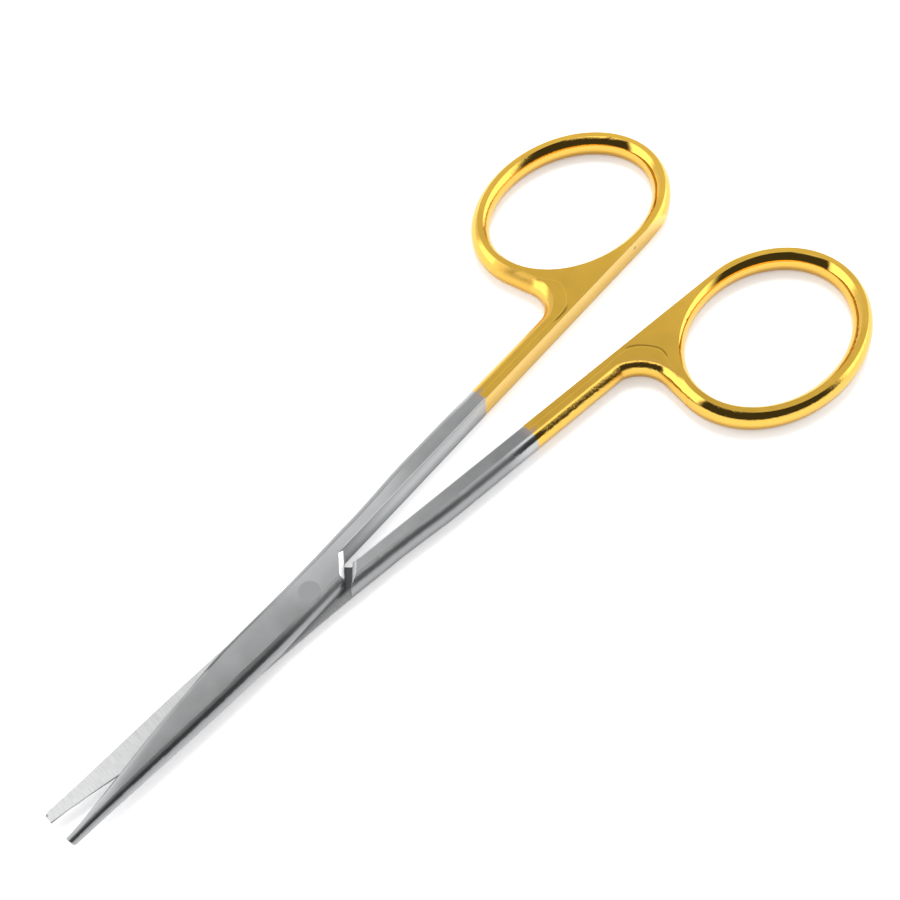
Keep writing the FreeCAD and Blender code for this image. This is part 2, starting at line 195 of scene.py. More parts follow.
# %% Helpers for node groups
def new_group(name, outputs, number_inputs=()):
    group = bpy.data.node_groups.new(name, "ShaderNodeTree")
    group.interface.new_socket("Vector", in_out="INPUT", socket_type="NodeSocketVector")
    for title in number_inputs:
        group.interface.new_socket(title, in_out="INPUT", socket_type="NodeSocketFloat")
    for title in outputs:
        group.interface.new_socket(title, in_out="OUTPUT", socket_type="NodeSocketFloat")
    return group, group.nodes.new("NodeGroupInput").outputs


def close_group(group, **values):
    result = group.nodes.new("NodeGroupOutput")
    for name, value in values.items():
        group.links.new(value, result.inputs[name])
    print("group", group.name, "has", len(group.nodes), "nodes")
    return group


def use_group(tree, group, **inputs):
    return add_node(tree, "ShaderNodeGroup", {"node_tree": group}, **inputs).outputs


print("group helpers ready")

# %% [markdown]
# The table is a plain white sheet. It takes the soft shadow of the scissors, and a little of its
# own light for the camera and for reflections brings the sheet to white. Stronger lamps would do
# that too, but they would wash out the steel.

# %% Table
TABLE_SIZE = 1.2
TABLE_WHITE = (0.86, 0.86, 0.87, 1.0)
TABLE_ROUGHNESS = 0.9
TABLE_LIFT = 0.14
CAMERA_LIFT = 0.24
WHITE = (1, 1, 1, 1)

bpy.ops.object.select_all(action="DESELECT")
bpy.ops.mesh.primitive_plane_add(size=TABLE_SIZE, location=(0, 0, 0))
table = bpy.context.object
table.name = "table"

sheet = bpy.data.materials.new("white_sheet")
tree = new_tree(sheet)
seen = add_node(tree, "ShaderNodeLightPath").outputs
in_eye_or_mirror = math_node(tree, "MAXIMUM", seen["Is Camera Ray"], seen["Is Glossy Ray"])
lift = product(tree, in_eye_or_mirror, TABLE_LIFT)
lift = math_node(tree, "MULTIPLY_ADD", seen["Is Camera Ray"], CAMERA_LIFT, lift)
matt = add_node(
    tree, "ShaderNodeBsdfPrincipled",
    Base_Color=TABLE_WHITE, Roughness=TABLE_ROUGHNESS, Emission_Color=WHITE, Emission_Strength=lift,
)
show(tree, matt)
table.data.materials.append(sheet)
print("table", TABLE_SIZE, "m wide")

# %% [markdown]
# Bright metal shows its surroundings more than itself, so the room matters as much as the finish.
# It could be built from lamps and cards, but drawn in the world it needs no objects: white at table
# height, a grey ceiling, tall bright softboxes to the left and right, and the dark side of the room
# behind the camera, which gives every polished round its dark stripe. Over the camera a narrow
# bright strip puts the thin highlight above that stripe. The camera itself sees plain white.

# %% Brightness and places in the room
WALL_LEVEL = 1.0
WALL_TO_SLOPE = (0.02, 0.30)
SLOPE_LEVEL = 0.86
SLOPE_TO_CEILING = (0.68, 0.80)
CEILING_LEVEL = 0.65
SOFTBOX_LEVEL = 1.9
SOFTBOX_SIDES = (-0.55, 0.34, 0.10)
SOFTBOX_HEIGHTS = (0.0, 0.80, 0.05)
DARK_LEVEL = 0.055
DARK_SIDES = (0.26, 0.46)
DARK_HEIGHTS = (0.03, 0.74, 0.03)
STRIP_LEVEL = 1.7
STRIP_HEIGHTS = (0.77, 0.85, 0.03)
print("room from", DARK_LEVEL, "to", SOFTBOX_LEVEL, "bright")

# %% [markdown]
# A place in the room is a height and a side. Heights go from 0, level, to 1, straight up. Sides go
# from -1, behind the scissors, to 1, behind the camera. Angles would do as well, but these two come
# straight from the direction with a few sums.

# %% Directions in the room
DARK_TURN = math.radians(8)
CAMERA_SIDE = math.atan2(back.y, back.x) + DARK_TURN
# Keeps the division safe straight up, where the level part of a direction is nothing.
JUST_OVER_ONE = 1.001

world = bpy.data.worlds.new("studio")
bpy.context.scene.world = world
tree = new_tree(world)
direction = add_node(tree, "ShaderNodeTexCoord").outputs["Generated"]
height = axes(tree, direction)[2]
level_run = math_node(tree, "SUBTRACT", JUST_OVER_ONE, product(tree, height, height))
level_run = math_node(tree, "SQRT", level_run)
to_camera = (math.cos(CAMERA_SIDE), math.sin(CAMERA_SIDE), 0)
facing = add_node(
    tree, "ShaderNodeVectorMath", {"operation": "DOT_PRODUCT"}, i0=direction, i1=to_camera
)
side = math_node(tree, "DIVIDE", facing.outputs["Value"], level_run)
print("dark side towards", round(math.degrees(CAMERA_SIDE)), "degrees")

# %% [markdown]
# The room is now laid up like a stage: first walls, slope and ceiling by height alone, then the
# softboxes, the dark side and the strip, each a patch between its sides and its heights. A picture
# of a real studio would be truer, but here each patch can be moved until its reflection is right.

# %% Room
above = blend(tree, ramp(tree, height, *SLOPE_TO_CEILING), SLOPE_LEVEL, CEILING_LEVEL)
room = blend(tree, ramp(tree, height, *WALL_TO_SLOPE), WALL_LEVEL, above)
beside = window(tree, side, *SOFTBOX_SIDES)
in_front = ramp(tree, side, *DARK_SIDES)
for across, heights, level in (
    (beside, SOFTBOX_HEIGHTS, SOFTBOX_LEVEL),
    (in_front, DARK_HEIGHTS, DARK_LEVEL),
    (in_front, STRIP_HEIGHTS, STRIP_LEVEL),
):
    patch = product(tree, across, window(tree, height, *heights))
    room = blend(tree, patch, room, level)

lit = add_node(tree, "ShaderNodeBackground", Color=WHITE, Strength=room)
plain = add_node(tree, "ShaderNodeBackground", Color=WHITE, Strength=1.0)
is_camera = add_node(tree, "ShaderNodeLightPath").outputs["Is Camera Ray"]
either = add_node(
    tree, "ShaderNodeMixShader", i0=is_camera, i1=lit.outputs[0], i2=plain.outputs[0]
)
show(tree, either, "ShaderNodeOutputWorld")
print("room drawn with", len(tree.nodes), "nodes")

# %% [markdown]
# One soft key light stands behind the scissors, so the shadows fall towards the camera, short and
# soft. A sun lamp would give the direction too, but its shadows are hard. The flats would mirror
# the lamp, so it doesn't show in reflections; the drawn room does that part.

# %% Key light
KEY_AZIMUTH = math.radians(222)
KEY_ELEVATION = math.radians(60)
KEY_DISTANCE = 0.6
KEY_SIZE = 0.34
KEY_POWER = 2.6

light = bpy.data.lights.new("key_softbox", "AREA")
light.shape = "DISK"
light.size = KEY_SIZE
light.energy = KEY_POWER
lamp = bpy.data.objects.new("key_softbox", light)
aim = Vector((
    math.cos(KEY_AZIMUTH) * math.cos(KEY_ELEVATION),
    math.sin(KEY_AZIMUTH) * math.cos(KEY_ELEVATION),
    math.sin(KEY_ELEVATION),
))
lamp.location = aim * KEY_DISTANCE
lamp.rotation_euler = aim.to_track_quat("Z", "Y").to_euler()
lamp.visible_glossy = False
bpy.context.scene.collection.objects.link(lamp)
print("key light", KEY_POWER, "W")

# %% [markdown]
# Each half was ground on a belt, which leaves fine straight scratches across the blade and the
# shank. They could be lines in a picture, but noise that is squeezed along the half looks the same
# and never repeats. The group works in millimetres in a half's own frame. It gives the height of
# the scratches, a slow mottle for tone and roughness, and specks for ripples.

# %% Grain group
SCRATCH_STRETCH = (9.0, 0.5, 0.5)
SCRATCH_NOISE = {"Scale": 1.0, "Detail": 4.0, "Roughness": 0.65}
MOTTLE_NOISE = {"Scale": 0.28, "Detail": 4.0}
SPECK_NOISE = {"Scale": 4.2, "Detail": 2.0, "Roughness": 0.6}


def build_grain_group():
    group, given = new_group("ground_grain", ("Scratches", "Mottle", "Specks"))
    place = given["Vector"]
    stretched = add_node(
        group, "ShaderNodeVectorMath", {"operation": "MULTIPLY"}, i0=place, i1=SCRATCH_STRETCH
    ).outputs[0]
    scratches = add_node(group, "ShaderNodeTexNoise", Vector=stretched, **SCRATCH_NOISE).outputs[0]
    mottle = add_node(group, "ShaderNodeTexNoise", Vector=place, **MOTTLE_NOISE).outputs[0]
    specks = add_node(group, "ShaderNodeTexNoise", Vector=place, **SPECK_NOISE).outputs[0]
    return close_group(group, Scratches=scratches, Mottle=mottle, Specks=specks)


grain_group = build_grain_group()

# %% [markdown]
# At the joint each half has a wall and a shoulder at 45 degrees to its length. Their edges were
# bevelled and polished, so they catch the light as bright lines. The solids hold the bevels, and
# the bright lines are painted on them as highlights, with a near white steel and a lower roughness.
# Their faces could be picked by hand for a material of their own, but a mask from their places and
# their slope fits into the same recipe as the rest.

# %% Joint bevels
WALL_REACH = 3.9
SHOULDER_REACH = 4.55
BEVEL = 0.55
BEVEL_SOFT = 0.03
BEVEL_SLOPES = (0.64, 0.78, 0.02)
WALL_BEVEL_HEIGHT = (0.8, 0.9)
WALL_BEVEL_SPAN = (-1.6, 1.75, 0.15)
SHOULDER_BEVEL_HEIGHT = (-0.9, -0.8)
SHOULDER_BEVEL_SPAN = (-3.0, -2.7)


def diagonal(group, operation, x, y, sign):
    """The distance from the pivot along a 45 degree line."""
    return product(group, math_node(group, operation, y, x), sign * math.sqrt(0.5))


def joint_bevels(group, x, y, z, upright):
    wall_line = diagonal(group, "SUBTRACT", x, y, 1)
    at_wall = product(
        group,
        window(group, wall_line, WALL_REACH - BEVEL, WALL_REACH, BEVEL_SOFT),
        ramp(group, z, *WALL_BEVEL_HEIGHT),
        window(group, y, *WALL_BEVEL_SPAN),
    )
    shoulder_line = diagonal(group, "ADD", x, y, -1)
    at_shoulder = product(
        group,
        window(group, shoulder_line, SHOULDER_REACH, SHOULDER_REACH + BEVEL, BEVEL_SOFT),
        falling(group, z, *SHOULDER_BEVEL_HEIGHT),
        ramp(group, y, *SHOULDER_BEVEL_SPAN),
    )
    half_slanted = window(group, upright, *BEVEL_SLOPES)
    return product(group, half_slanted, math_node(group, "MAXIMUM", at_wall, at_shoulder))


print("bevels", BEVEL, "mm wide")

# %% [markdown]
# Light catches where the form changes. Along the top edge of the shank's inner wall lies a bright
# line, a painted highlight, with a dark line of painted reflection under it, and the lap faces are
# ground bright. Such marks could be painted on the mesh, but this group finds them from places in a
# half's own frame, in millimetres, and from how level the surface lies, so they follow the form
# exactly.

# %% Edge faces and painted light group
INNER_GAP_FRONT = 0.78
INNER_WALL_START = 6.3
INNER_WALL_SLOPE = 0.0242
INNER_WALL_FADE = 0.6
LAYER = 1.73
LEVEL_FACES = (0.8, 0.95)
STEEP_FACES = (0.2, 0.4)
EDGE_GLINT_WIDTH = (0.07, 0.16)
WALL_WIDTH = (0.02, 0.1)
EDGE_SHADE_DEPTH = (0.08, 0.24)
LAP_HEIGHT = (0.04, 0.10)


def build_edge_group():
    outputs = ("Rubbed", "Groove", "Wall", "Bevel", "Lap")
    group, given = new_group("edge_faces_and_light", outputs, number_inputs=("Upright",))
    upright = given["Upright"]
    x, y, z = axes(group, given["Vector"])
    level = math_node(group, "ABSOLUTE", z)
    level_face = ramp(group, upright, *LEVEL_FACES)
    behind = falling(group, x, -INNER_WALL_START - INNER_WALL_FADE, -INNER_WALL_START)

    wall_bend = INNER_WALL_START * INNER_WALL_SLOPE
    wall = math_node(group, "MULTIPLY_ADD", x, INNER_WALL_SLOPE, wall_bend)
    wall = math_node(group, "SUBTRACT", wall, INNER_GAP_FRONT)
    inside = math_node(group, "SUBTRACT", wall, y)
    steep = falling(group, upright, *STEEP_FACES)
    wall_face = product(group, falling(group, inside, *WALL_WIDTH), steep)
    # painted highlight: a bright line along the top edge of the inner wall
    rubbed = product(group, behind, falling(group, inside, *EDGE_GLINT_WIDTH), level_face)
    below = math_node(group, "SUBTRACT", LAYER, level)
    # painted reflection: a dark line just under that top edge
    groove = product(group, behind, wall_face, falling(group, below, *EDGE_SHADE_DEPTH))

    bevel = joint_bevels(group, x, y, z, upright)
    lap = product(group, falling(group, level, *LAP_HEIGHT), level_face)
    return close_group(group, Rubbed=rubbed, Groove=groove, Wall=wall_face, Bevel=bevel, Lap=lap)


edge_group = build_edge_group()

# %% [markdown]
# The polisher's wheel rounded the handle's outer side and stopped at a line on the flat, which
# catches the light as a thin ridge; here a painted highlight draws it. It follows the shank at an
# even distance and swings wide around the crotch, where a narrow arc of painted shade lies beside it.
# It could be a step in the solids, but it is hardly raised at all, so it is only a change of tone.
# The group measures from the handle's outline: a straight line along the shank, and the crotch's own
# circle behind it.

# %% Ridge group
OUTLINE_AT_PIVOT = 3.405
OUTLINE_SLOPE = -0.02026
CROTCH_CENTRE = (-46.17, -8.04, 0.0)
CROTCH_RADIUS = 3.75
RIDGE_DISTANCE = 1.8
RIDGE_SWING = (-51.0, -46.0, 1.0, 0.0)
RIDGE_RETURN = (-8.5, -5.0, -1.5, 0.0)
RIDGE_WIDTH = (-0.06, 0.06, 0.05)
RIDGE_REAR = (-57.5, -56.5)
RIDGE_OUTSIDE = (-9.5, -8.0)
BESIDE_WIDTH = (0.10, 0.34, 0.06)
BESIDE_OUTSIDE = (-7.2, -6.2)


def distance_from_outline(group, x, y):
    outline = math_node(group, "MULTIPLY_ADD", x, OUTLINE_SLOPE, OUTLINE_AT_PIVOT)
    from_side = math_node(group, "ADD", y, outline)
    level_place = add_node(group, "ShaderNodeCombineXYZ", i0=x, i1=y).outputs[0]
    reach = add_node(
        group, "ShaderNodeVectorMath", {"operation": "DISTANCE"}, i0=level_place, i1=CROTCH_CENTRE
    )
    from_round = math_node(group, "SUBTRACT", reach.outputs["Value"], CROTCH_RADIUS)
    behind_crotch = math_node(group, "LESS_THAN", x, CROTCH_CENTRE[0])
    return blend(group, behind_crotch, from_side, from_round)


def build_ridge_group():
    group, given = new_group("polishing_ridge", ("Ridge", "Beside"))
    x, y, _ = axes(group, given["Vector"])
    bend = math_node(group, "ADD", ramp(group, x, *RIDGE_SWING), ramp(group, y, *RIDGE_RETURN))
    ridge_place = math_node(group, "ADD", bend, RIDGE_DISTANCE)
    past = math_node(group, "SUBTRACT", distance_from_outline(group, x, y), ridge_place)
    shown = product(group, ramp(group, x, *RIDGE_REAR), ramp(group, y, *RIDGE_OUTSIDE))
    ridge = product(group, window(group, past, *RIDGE_WIDTH), shown)
    beside_ridge = product(
        group, window(group, past, *BESIDE_WIDTH), ramp(group, y, *BESIDE_OUTSIDE)
    )
    return close_group(group, Ridge=ridge, Beside=beside_ridge)


ridge_group = build_ridge_group()

# %% [markdown]
# The blade's cutting edge was honed last. On the outside the steel has a painted band of light
# towards the edge, most near the tip, and on the lap face a thin dark line runs along the edge. The
# edge curves gently. A straight line would wander off it, so the group measures from a curve through
# three places of it.

# %% Edge light and edge line group
EDGE_PLACES = ((22.52, 2.10), (28.96, 1.24), (35.75, 0.58))
EDGE_LIGHT_WIDTH = (0.6, 1.7)
EDGE_LIGHT_LENGTH = (17.0, 33.0)
EDGE_LINE_WIDTH = (0.09, 0.19)
EDGE_LINE_START = (21.0, 24.0)


def build_edge_light_group():
    group, given = new_group("edge_light_and_line", ("Bright", "Land"))
    x, y, _ = axes(group, given["Vector"])
    (x0, y0), (x1, y1), (x2, y2) = EDGE_PLACES
    first_slope = (y1 - y0) / (x1 - x0)
    bend = ((y2 - y1) / (x2 - x1) - first_slope) / (x2 - x0)
    from_second = math_node(group, "SUBTRACT", x, x1)
    slope = math_node(group, "MULTIPLY_ADD", from_second, bend, first_slope)
    from_first = math_node(group, "SUBTRACT", x, x0)
    edge = math_node(group, "MULTIPLY_ADD", from_first, slope, y0)
    from_edge = math_node(group, "ADD", y, edge)
    # painted light: a band that brightens the steel towards the cutting edge
    bright = product(
        group, falling(group, from_edge, *EDGE_LIGHT_WIDTH), ramp(group, x, *EDGE_LIGHT_LENGTH)
    )
    land = product(group, falling(group, from_edge, *EDGE_LINE_WIDTH), ramp(group, x, *EDGE_LINE_START))
    return close_group(group, Bright=bright, Land=land)


edge_light_group = build_edge_light_group()

# %% [markdown]
# One half is one forging, so it has one material, and the gold is a mask in it, as plating is only
# a skin. Plating starts about a third of the way up the shank, at a crisp line. A Mapping node
# brings a place into the half's own frame, where X runs from the pivot to the tip, so both halves
# use the same recipe. This cell reads everything the recipe needs: the place, how level the surface
# lies, the groups' masks, and where the gold starts.

# %% Reading the surface
FLAT_FACES = (0.90, 0.985)
GOLD_START = -32.4
GOLD_START_WAVE = 0.12
GOLD_START_SOFT = 0.06
POLISHED_STEEL = (-31.5, -27.0)


def read_surface(tree, rotation):
    mapping = add_node(
        tree, "ShaderNodeMapping", {"vector_type": "TEXTURE"},
        Vector=add_node(tree, "ShaderNodeTexCoord").outputs["Object"],
        Location=pivot, Rotation=rotation,
    )
    own = scaled(tree, mapping.outputs[0], 1 / MM)
    at = SimpleNamespace(own=own)
    at.x, at.y, at.z = axes(tree, own)
    normal = add_node(tree, "ShaderNodeNewGeometry").outputs["Normal"]
    at.upright = math_node(tree, "ABSOLUTE", axes(tree, normal)[2])
    at.flat = ramp(tree, at.upright, *FLAT_FACES)
    groups = (
        use_group(tree, grain_group, Vector=own),
        use_group(tree, edge_group, Vector=own, Upright=at.upright),
        use_group(tree, ridge_group, Vector=own),
        use_group(tree, edge_light_group, Vector=own),
    )
    # Each output is kept under its own name, such as at.lap or at.mottle.
    for outputs in groups:
        for socket in outputs:
            setattr(at, socket.name.lower(), socket)
    at.polished = falling(tree, at.x, *POLISHED_STEEL)
    start = varied(tree, GOLD_START, at.mottle, GOLD_START_WAVE)
    past_start = math_node(tree, "SUBTRACT", start, at.x)
    at.plated = ramp(tree, past_start, -GOLD_START_SOFT, GOLD_START_SOFT)
    return at


print("gold starts", -GOLD_START, "mm behind the pivot")

# %% [markdown]
# The steel in front is satin. The tone of its flats steps a little along the half, and towards the
# cutting edge it has a painted band of light. The inner wall of the shank has painted shade towards
# the joint and towards its top, and is painted lighter low down, where it mirrors the table. The
# rounded sides are painted darker, as shade, less so on the polished steel near the gold and most on
# the blade, where a painted dark band stands for the dark side of the room in reflection. All this
# could be lit with many small lamps, but here it is a tone that multiplies the steel's colour.

# %% Tone and painted shade of the steel
SHANK_MIDDLE = 2.0
MOTTLE_TONE = 0.34
SCRATCH_TONE = 0.10
EDGE_LIGHT_TONE = 0.65
WALL_JOINT_SHADE = (-17.0, -5.0, 1.0, 0.66)
WALL_DEPTH_LIGHT_AND_SHADE = (0.0, LAYER, 1.16, 0.88)
ROUND_SHADE = 0.62
POLISHED_ROUND_SHADE = 0.9
PAINTED_BAND_SLOPES = (0.56, 0.95, 0.04)
PAINTED_BAND_START = (0.0, 8.0)
PAINTED_BAND_SHADE = -0.5


def steel_flat_tone(tree, at, marks):
    across = marks["across_tone"]
    tone = math_node(tree, "MULTIPLY_ADD", at.y, across, 1.0 + SHANK_MIDDLE * across)
    tone = math_node(tree, "MULTIPLY_ADD", at.x, marks["along_tone"], tone)
    for step in marks["tone_steps"]:
        tone = product(tree, tone, ramp(tree, at.x, *step))
    tone = varied(tree, tone, at.mottle, MOTTLE_TONE)
    tone = varied(tree, tone, at.scratches, SCRATCH_TONE)
    # painted light: the steel's flats brighten towards the cutting edge
    return changed(tree, tone, at.bright, EDGE_LIGHT_TONE)


def steel_side_shade(tree, at):
    # painted light and shade: the inner wall is lighter low down, where it mirrors the table, darker
    # at its top
    depth_light_and_shade = ramp(tree, math_node(tree, "ABSOLUTE", at.z), *WALL_DEPTH_LIGHT_AND_SHADE)
    # painted shade on the inner wall towards the joint
    wall_shade = product(tree, ramp(tree, at.x, *WALL_JOINT_SHADE), depth_light_and_shade)
    # painted shade: a dark band on the blade's rounded sides, standing for the room's dark reflection
    painted_band = product(
        tree, window(tree, at.upright, *PAINTED_BAND_SLOPES), ramp(tree, at.x, *PAINTED_BAND_START)
    )
    # painted shade: the rounded sides are darker, less so on the polished steel near the gold
    round_shade = blend(tree, at.polished, ROUND_SHADE, POLISHED_ROUND_SHADE)
    round_shade = changed(tree, round_shade, painted_band, PAINTED_BAND_SHADE)
    return blend(tree, at.wall, round_shade, wall_shade)


print("rounded sides at", ROUND_SHADE, "of the flats' tone")

# %% [markdown]
# Over the steel lie, in turn, the pinkish haze that the plating bath left just before the gold, the
# lap face, with painted shadow at its front where the other blade lies over it and a thin dark line
# along its edge, the painted shade in the notch at the joint, the painted highlight along the wall's
# top edge with the painted dark reflection under it, and the bevels, painted bright as highlights.
# They could be faces with materials of their own, but most of them follow no edge of the mesh, so
# each is a colour laid on through its mask.

# %% Steel colour
STEEL = (0.55, 0.56, 0.565)
STEEL_HIGHLIGHT = (0.93, 0.94, 0.95)
STEEL_LAP = (0.88, 0.885, 0.89)
STEEL_DARK = (0.16, 0.165, 0.17)
HAZE = (0.52, 0.43, 0.39)
HAZE_LENGTH = 1.2
HAZE_SHARE = 0.75
LAP_SCRATCHES = 0.7
LAP_TONE = 0.62
LAP_FRONT_SHADE = (3.0, 12.0, 0.5, 1.0)
LAP_TIP_TONE = (20.0, 34.0, 1.0, 1.12)
EDGE_LINE_TONE = 0.4
NOTCH_SHADE_LENGTH = (-2.6, -1.6)
NOTCH_SHADE_SPAN = (-2.5, -2.0)
EDGE_GLINT_STEEL = 0.9
EDGE_SHADE_STEEL = 0.75


def lap_colour(tree, at):
    tone = math_node(tree, "MULTIPLY_ADD", at.scratches, LAP_SCRATCHES, LAP_TONE)
    # painted shadow: the lap face darkens towards the front, under the other blade
    tone = product(
        tree, tone, ramp(tree, at.x, *LAP_FRONT_SHADE), ramp(tree, at.x, *LAP_TIP_TONE)
    )
    return scaled(tree, STEEL_LAP, tone)


def steel_colour(tree, at, marks):
    tone = blend(tree, at.flat, steel_side_shade(tree, at), steel_flat_tone(tree, at, marks))
    haze = ramp(tree, at.x, GOLD_START, GOLD_START + HAZE_LENGTH, HAZE_SHARE, 0.0)
    edge_line_share = math_node(tree, "ADD", at.scratches, EDGE_LINE_TONE)
    # painted shade in the notch at the joint
    notch_shade = product(tree, falling(tree, at.x, *NOTCH_SHADE_LENGTH), ramp(tree, at.y, *NOTCH_SHADE_SPAN))
    return layered(
        tree,
        scaled(tree, STEEL, tone),
        (product(tree, haze, at.flat), HAZE),
        (at.lap, lap_colour(tree, at)),
        (product(tree, at.lap, at.land, edge_line_share), STEEL_DARK),
        (product(tree, at.lap, notch_shade), STEEL_DARK),
        # painted highlight along the wall's top edge, then the painted dark reflection under it
        (product(tree, at.rubbed, EDGE_GLINT_STEEL), STEEL_HIGHLIGHT),
        (product(tree, at.groove, EDGE_SHADE_STEEL), STEEL_DARK),
        # painted highlight: the bevels are laid on in near white steel
        (at.bevel, STEEL_HIGHLIGHT),
    )


print("steel colour", STEEL)

# %% [markdown]
# The gold is deeper on the satin flats, and on the inner wall a brighter gold is a painted reflection
# of the white table. The polishing ridge has a painted highlight, with an arc of painted shade beside
# it, and along the wall's top edge lie the same painted highlight and dark line as on the steel.
# Right behind its start the plating is thin, and the haze shows through on the outer part of the
# flat. One gold all over would be simpler, but plated and polished metal never looks that even.

# %% Gold colour
GOLD_FLAT = (0.86, 0.52, 0.075)
GOLD_ROUND = (0.86, 0.53, 0.10)
GOLD_WALL_LIT = (1.0, 0.68, 0.16)
GOLD_DARK = (0.30, 0.15, 0.02)
GOLD_MOTTLE = 0.26
GOLD_TONE = 0.86
GOLD_REAR_TONE = (-60.0, -50.0, 1.06, 1.0)
RIDGE_HIGHLIGHT = 0.14
ARC_SHADE = -0.5
ARC_SHADE_SOFT = 0.5
EDGE_GLINT_GOLD = 0.6
EDGE_SHADE_GOLD = 0.5
THIN_GOLD_END = 0.3
THIN_GOLD_SHARE = 0.6
THIN_GOLD_SPAN = (-2.7, -2.1)


def gold_colour(tree, at, marks):
    tone = math_node(tree, "MULTIPLY_ADD", at.mottle, GOLD_MOTTLE, GOLD_TONE)
    tone = product(tree, tone, ramp(tree, at.x, *GOLD_REAR_TONE))
    # painted highlight along the polishing ridge
    tone = changed(tree, tone, at.ridge, RIDGE_HIGHLIGHT)
    # painted shade in the arc beside the ridge
    arc_shade = product(tree, at.beside, window(tree, at.x, *marks["shaded_arc"], ARC_SHADE_SOFT))
    tone = changed(tree, tone, arc_shade, ARC_SHADE)
    thin_from = GOLD_START - HAZE_LENGTH
    thin_to = GOLD_START - THIN_GOLD_END
    thin = ramp(tree, at.x, thin_from, thin_to, 0.0, THIN_GOLD_SHARE)
    return layered(
        tree,
        GOLD_ROUND,
        # painted reflection: the inner wall gets a brighter gold
        (at.wall, GOLD_WALL_LIT),
        (at.flat, scaled(tree, GOLD_FLAT, tone)),
        # painted highlight along the wall's top edge, then the painted dark reflection under it
        (product(tree, at.rubbed, EDGE_GLINT_GOLD), GOLD_ROUND),
        (product(tree, at.groove, EDGE_SHADE_GOLD), GOLD_DARK),
        (product(tree, thin, at.flat, falling(tree, at.y, *THIN_GOLD_SPAN)), HAZE),
    )


print("gold colour", GOLD_FLAT)

# %% [markdown]
# The flats are satin, the rounded sides of the steel are blurred, and those of the gold are
# polished like a mirror. One bend of the upper half's ring is blurred more, because the drawn room
# would put a dark blot there. The colour could be darkened for satin instead, but only roughness
# spreads a reflection as grinding does.

# %% Roughness
STEEL_FLAT_ROUGH = (0.16, 0.26)
STEEL_SIDE_ROUGH = 0.34
STEEL_POLISHED_ROUGH = 0.14
LAP_ROUGH = 0.46
BEVEL_ROUGH = 0.22
GOLD_FLAT_ROUGH = (0.14, 0.12)
GOLD_SIDE_ROUGH = 0.045
BEND_LENGTH = (-55.0, -48.5, 0.4)
BEND_SPAN = (-14.5, -8.3, 0.4)


def surface_roughness(tree, at, marks):
    steel_side = blend(tree, at.polished, STEEL_SIDE_ROUGH, STEEL_POLISHED_ROUGH)
    steel_flat = math_node(tree, "MULTIPLY_ADD", at.mottle, *STEEL_FLAT_ROUGH)
    steel = blend(tree, at.flat, steel_side, steel_flat)
    steel = blend(tree, at.lap, steel, LAP_ROUGH)
    steel = blend(tree, at.bevel, steel, BEVEL_ROUGH)
    bend = product(tree, window(tree, at.x, *BEND_LENGTH), window(tree, at.y, *BEND_SPAN))
    gold_side = math_node(tree, "MULTIPLY_ADD", bend, marks["bend_blur"], GOLD_SIDE_ROUGH)
    gold_flat = math_node(tree, "MULTIPLY_ADD", at.mottle, *GOLD_FLAT_ROUGH)
    gold = blend(tree, at.flat, gold_side, gold_flat)
    return blend(tree, at.plated, steel, gold)


print("roughness of the polished gold", GOLD_SIDE_ROUGH)

# %% [markdown]
# The scratches and, on the plated rounds, fine ripples are relief. They could be real dents in the
# mesh, but they are far finer than any edge of it, so a Bump node only tilts the light.

# %% Relief
SHANK_RIPPLE_LENGTH = (-50.5, -33.2, 0.8)
SHANK_RIPPLE_SPAN = (-8.1, -2.5, 0.2)
RING_RIPPLE_SPAN = (-16.0, -14.0, 0.7, 0.0)
RIPPLE_SLOPES = (0.36, 0.84, 0.06)
RIPPLE_STRENGTH = 0.6
RIPPLE_HEIGHT = 2.0
SCRATCH_STRENGTH = 0.16
RELIEF_DEPTH = 0.02 * MM


def surface_relief(tree, at):
    on_shank = product(
        tree, window(tree, at.x, *SHANK_RIPPLE_LENGTH), window(tree, at.y, *SHANK_RIPPLE_SPAN)
    )
    on_ring = ramp(tree, at.y, *RING_RIPPLE_SPAN)
    rippled = math_node(tree, "MAXIMUM", on_shank, on_ring)
    rippled = product(tree, rippled, window(tree, at.upright, *RIPPLE_SLOPES), at.plated)
    strength = blend(tree, at.flat, product(tree, rippled, RIPPLE_STRENGTH), SCRATCH_STRENGTH)
    ripples = product(tree, rippled, at.specks, RIPPLE_HEIGHT)
    relief = math_node(tree, "ADD", at.scratches, ripples)
    bump = add_node(
        tree, "ShaderNodeBump", Strength=strength, Distance=RELIEF_DEPTH, Height=relief
    )
    return bump.outputs[0]


print("relief", RELIEF_DEPTH / MM, "mm deep")

# %% [markdown]
# The two halves were ground and polished one at a time, so each has its own marks: how the tone of
# its flats goes across and along, where its arc of painted shade lies, how much its bend is blurred,
# and one small dent. The dark spot of the dent is laid over everything else. Two recipes would drift
# apart, so one function makes both finishes, and a dictionary holds the marks of each half.

# %% Plated steel
HALF_OPENING = math.radians(2.8)
DENT_SHADE = (0.17, 0.13, 0.10)
DENT_SHARE = 0.7
DENT_CORE = 0.4
UPPER_MARKS = {
    "across_tone": -0.07,
    "along_tone": 0.0,
    "tone_steps": ((-22.0, -13.0, 0.76, 1.30), (-1.5, 4.0, 1.0, 0.74)),
    "bend_blur": 0.4,
    "shaded_arc": (-49.6, -47.0),
    "dent": (-63.8, -2.18, 0.4),
    "dent_size": 0.36,
}
LOWER_MARKS = {
    "across_tone": 0.0,
    "along_tone": 0.013,
    "tone_steps": ((-17.5, -12.5, 1.0, 1.06), (-6.0, -2.0, 1.0, 0.94)),
    "bend_blur": 0.0,
    "shaded_arc": (-52.6, -49.6),
    "dent": (35.62, 0.45, 0.0),
    "dent_size": 0.2,
}


def dent_mask(tree, at, place, size):
    away = add_node(
        tree, "ShaderNodeVectorMath", {"operation": "DISTANCE"}, i0=at.own, i1=place
    ).outputs["Value"]
    return ramp(tree, away, DENT_CORE * size, size, DENT_SHARE, 0.0)


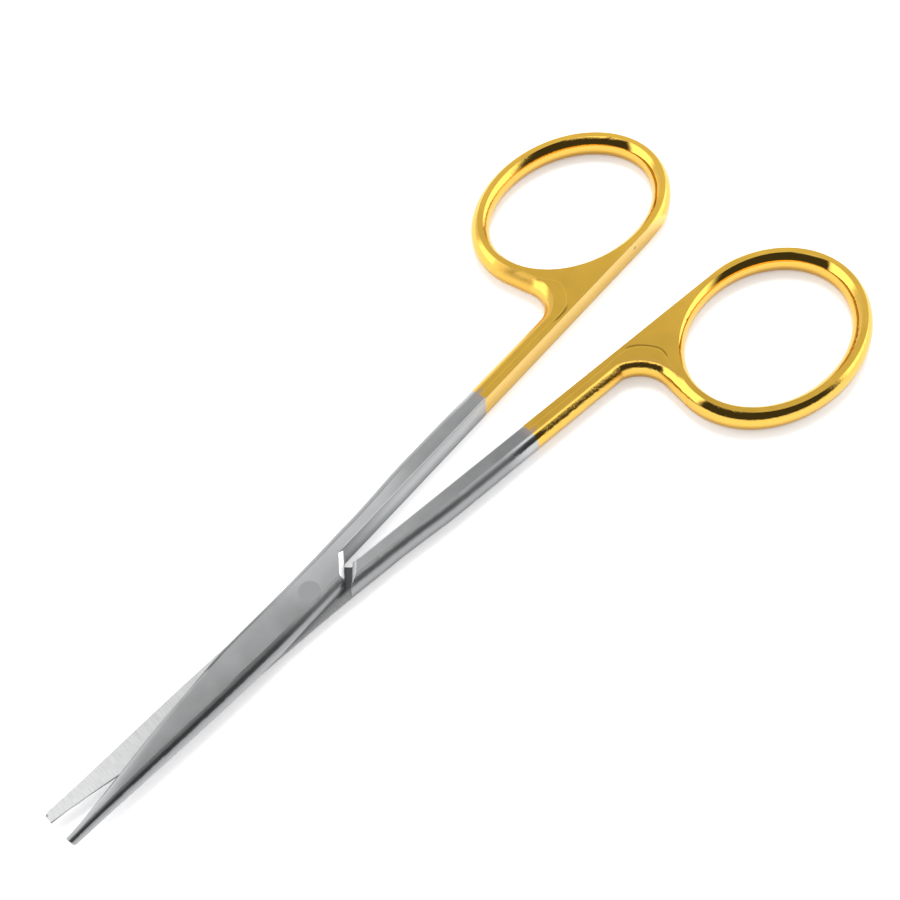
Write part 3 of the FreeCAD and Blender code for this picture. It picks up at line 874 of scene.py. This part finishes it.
def plated_steel(name, rotation, marks):
    material = bpy.data.materials.new(name)
    tree = new_tree(material)
    at = read_surface(tree, rotation)
    colour = layered(
        tree,
        steel_colour(tree, at, marks),
        (at.plated, gold_colour(tree, at, marks)),
        (dent_mask(tree, at, marks["dent"], marks["dent_size"]), DENT_SHADE),
    )
    metal = add_node(
        tree, "ShaderNodeBsdfPrincipled",
        Base_Color=colour, Metallic=1.0,
        Roughness=surface_roughness(tree, at, marks), Normal=surface_relief(tree, at),
    )
    show(tree, metal)
    print(name, "has", len(tree.nodes), "nodes")
    return material


upper_finish = plated_steel("plated_steel_upper", Euler((0, 0, HALF_OPENING)), UPPER_MARKS)
lower_finish = plated_steel("plated_steel_lower", Euler((math.pi, 0, -HALF_OPENING)), LOWER_MARKS)

# %% [markdown]
# A smooth copy of each half could be modelled here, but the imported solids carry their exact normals
# already, so they are used as they are, each with its finish.

# %% Finishes on the halves
frame["nodes"]["upper_half"].data.materials[0] = upper_finish
frame["nodes"]["lower_half"].data.materials[0] = lower_finish
print("two halves finished")

# %% [markdown]
# The screw is plain ground steel, a touch darker than the halves. Its head was faced on a lathe,
# which leaves fine rings around its middle. Grooves in the mesh would be too many and too fine, so
# a wave texture in rings gives them as relief.

# %% Screw
SCREW_STEEL = (0.505, 0.515, 0.52, 1.0)
SCREW_ROUGH = 0.34
TURNING_SCALE = 1800.0
TURNING_WAVER = 0.6
TURNING_STRENGTH = 0.1
TURNING_DEPTH = 0.01 * MM

screw_finish = bpy.data.materials.new("ground_screw_steel")
tree = new_tree(screw_finish)
centred = add_node(
    tree, "ShaderNodeMapping", {"vector_type": "TEXTURE"},
    Vector=add_node(tree, "ShaderNodeTexCoord").outputs["Object"], Location=pivot,
).outputs[0]
turning = add_node(
    tree, "ShaderNodeTexWave", {"wave_type": "RINGS", "rings_direction": "Z"},
    Vector=centred, Scale=TURNING_SCALE, Distortion=TURNING_WAVER,
).outputs[0]
bump = add_node(
    tree, "ShaderNodeBump", Strength=TURNING_STRENGTH, Distance=TURNING_DEPTH, Height=turning
)
metal = add_node(
    tree, "ShaderNodeBsdfPrincipled",
    Base_Color=SCREW_STEEL, Metallic=1.0, Roughness=SCREW_ROUGH, Normal=bump.outputs[0],
)
show(tree, metal)
screw = frame["nodes"]["pivot_screw"]
screw.data.materials.clear()
screw.data.materials.append(screw_finish)
print("screw finished")

# %% [markdown]
# The picture keeps the plain Standard view transform.

# %% View transform
bpy.context.scene.view_settings.view_transform = "Standard"
